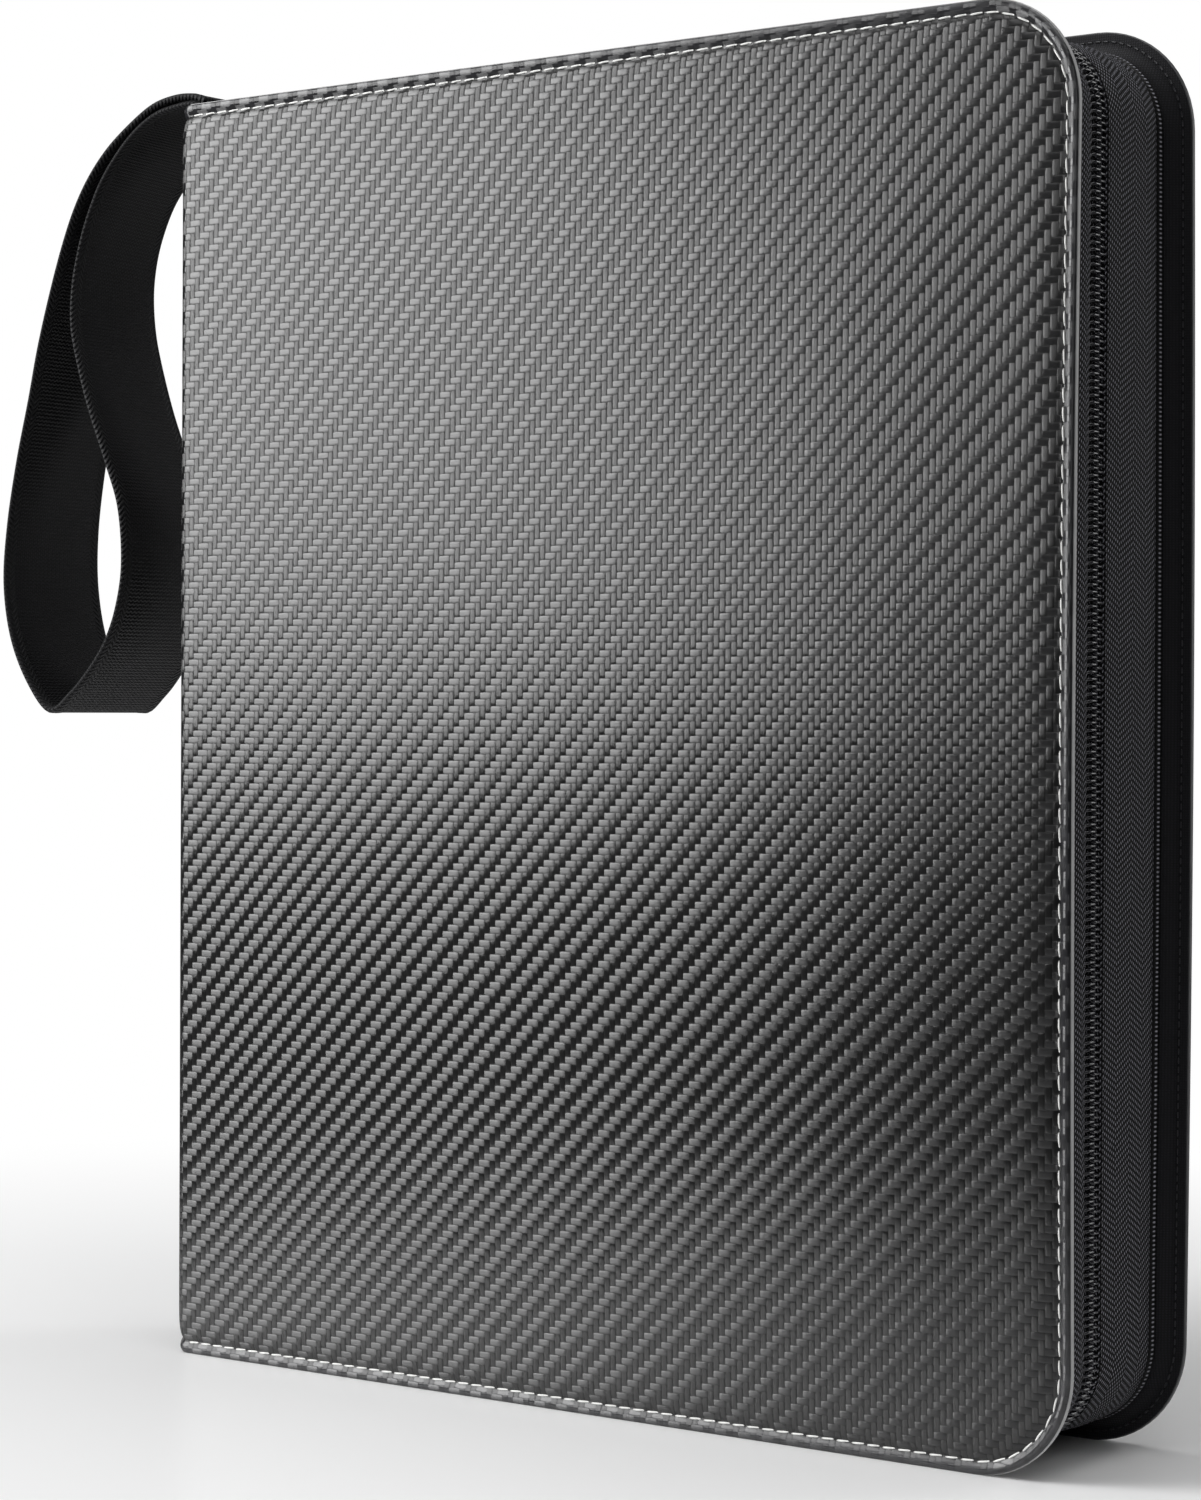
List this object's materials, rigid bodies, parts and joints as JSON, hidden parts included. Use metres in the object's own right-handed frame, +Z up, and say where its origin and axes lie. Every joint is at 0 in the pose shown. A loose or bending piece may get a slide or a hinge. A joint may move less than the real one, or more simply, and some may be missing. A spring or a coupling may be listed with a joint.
{
  "type": "trading card binder",
  "caption": "Zip-up padded binder for trading cards, with a hinged front and back cover, ring mechanism, pocket leaves and a webbing carry loop.",
  "frame": {"origin": "middle of the bounding box, on the surface that the closed binder stands on", "axes": "+Z up along the spine, +X from the spine to the fore edge, +Y from the front cover to the back cover"},
  "size_m": [0.3486, 0.054, 0.3349],
  "materials": {
    "leatherette": "coated cloth embossed with a two-up two-down carbon weave, semi-gloss",
    "foam": "matt foam sheet",
    "greyboard": "matt greyboard",
    "lining_cloth": "black woven lining, matt",
    "zip_tape": "black herringbone tape, matt",
    "nylon_coil": "black nylon, satin",
    "webbing": "black ribbed nylon webbing",
    "nickel_steel": "nickel-plated steel, bright",
    "slider_metal": "black painted die casting",
    "stop_metal": "black painted wire stop",
    "pull_rubber": "moulded soft PVC, matt",
    "leaf_film": "clear polypropylene film, welded into pockets, glossy"
  },
  "bodies": {
    "spine": {"spine_skin": "leatherette", "spine_padding": "foam", "spine_board": "greyboard", "spine_lining": "lining_cloth", "front_hinge_cloth": "lining_cloth", "back_hinge_cloth": "lining_cloth", "zip_gusset_bottom": "zip_tape", "zip_gusset_top": "zip_tape", "strap_tail": "webbing", "ring_housing": "nickel_steel", "ring_rivet_bottom": "nickel_steel", "ring_rivet_top": "nickel_steel", "lever_pin_bottom": "nickel_steel", "lever_pin_top": "nickel_steel"},
    "front_cover": {"front_cover_skin": "leatherette", "front_cover_padding": "foam", "front_cover_board": "greyboard", "front_cover_lining": "lining_cloth", "front_piping": "zip_tape", "front_zip_tape": "zip_tape", "front_zip_coil": "nylon_coil", "front_zip_stop_bottom": "stop_metal", "front_zip_stop_top": "stop_metal"},
    "back_cover": {"back_cover_skin": "leatherette", "back_cover_padding": "foam", "back_cover_board": "greyboard", "back_cover_lining": "lining_cloth", "back_piping": "zip_tape", "back_zip_tape": "zip_tape", "back_zip_coil": "nylon_coil", "back_zip_stop_bottom": "stop_metal", "back_zip_stop_top": "stop_metal"},
    "front_leaves": {"front_leaf_1": "leaf_film", "front_leaf_2": "leaf_film", "front_leaf_3": "leaf_film", "front_leaf_4": "leaf_film", "front_leaf_5": "leaf_film", "front_leaf_6": "leaf_film"},
    "back_leaves": {"back_leaf_1": "leaf_film", "back_leaf_2": "leaf_film", "back_leaf_3": "leaf_film", "back_leaf_4": "leaf_film", "back_leaf_5": "leaf_film", "back_leaf_6": "leaf_film"},
    "ring_front": {"ring_blade_front": "nickel_steel", "ring_front_bottom": "nickel_steel", "ring_front_middle": "nickel_steel", "ring_front_top": "nickel_steel"},
    "ring_back": {"ring_blade_back": "nickel_steel", "ring_back_bottom": "nickel_steel", "ring_back_middle": "nickel_steel", "ring_back_top": "nickel_steel"},
    "lever_top": {"ring_lever_top": "nickel_steel"},
    "lever_bottom": {"ring_lever_bottom": "nickel_steel"},
    "slider": {"slider_body": "slider_metal"},
    "pull": {"pull_link": "slider_metal", "pull_tab": "pull_rubber"},
    "strap": {"strap_loop": "webbing"}
  },
  "joints": [
    {"name": "front_cover_open", "type": "hinge", "parent": "spine", "child": "front_cover", "pos_m": [-0.09781, -0.0261, 0.165], "axis": [0, 0, -1], "range_deg": [0, 90]},
    {"name": "back_cover_open", "type": "hinge", "parent": "spine", "child": "back_cover", "pos_m": [-0.09781, 0.0261, 0.165], "axis": [0, 0, 1], "range_deg": [0, 90]},
    {"name": "front_leaves_turn", "type": "hinge", "parent": "spine", "child": "front_leaves", "pos_m": [-0.07621, 0, 0.165], "axis": [0, 0, -1], "range_deg": [0, 90]},
    {"name": "back_leaves_turn", "type": "hinge", "parent": "spine", "child": "back_leaves", "pos_m": [-0.07621, 0, 0.165], "axis": [0, 0, 1], "range_deg": [0, 90]},
    {"name": "rings_open", "type": "hinge", "parent": "spine", "child": "ring_front", "pos_m": [-0.09201, -0.0098, 0.165], "axis": [0, 0, -1], "range_deg": [0, 10]},
    {"name": "ring_back_open", "type": "hinge", "parent": "spine", "child": "ring_back", "pos_m": [-0.09201, 0.0098, 0.165], "axis": [0, 0, 1], "range_deg": [0, 10]},
    {"name": "lever_top_tilt", "type": "hinge", "parent": "spine", "child": "lever_top", "pos_m": [-0.09071, 0, 0.2969], "axis": [0, -1, 0], "range_deg": [0, 33]},
    {"name": "lever_bottom_tilt", "type": "hinge", "parent": "spine", "child": "lever_bottom", "pos_m": [-0.09071, 0, 0.0331], "axis": [0, 1, 0], "range_deg": [0, 33]},
    {"name": "zip_slide", "type": "slide", "parent": "back_cover", "child": "slider", "axis": [1, 0, 0], "range_m": [0, 0.19]},
    {"name": "pull_flip", "type": "hinge", "parent": "slider", "child": "pull", "pos_m": [-0.07431, -0.0073, 0.3275], "axis": [0, -1, 0], "range_deg": [0, 90]},
    {"name": "strap_swing", "type": "hinge", "parent": "spine", "child": "strap", "pos_m": [-0.09701, 0, 0.33205], "axis": [0, 1, 0], "range_deg": [0, 120]}
  ],
  "couplings": [
    {"joint": "front_leaves_turn", "follows": "front_cover_open", "ratio": 1},
    {"joint": "back_leaves_turn", "follows": "back_cover_open", "ratio": 1},
    {"joint": "ring_back_open", "follows": "rings_open", "ratio": 1},
    {"joint": "lever_top_tilt", "follows": "rings_open", "ratio": 3},
    {"joint": "lever_bottom_tilt", "follows": "rings_open", "ratio": 3}
  ]
}
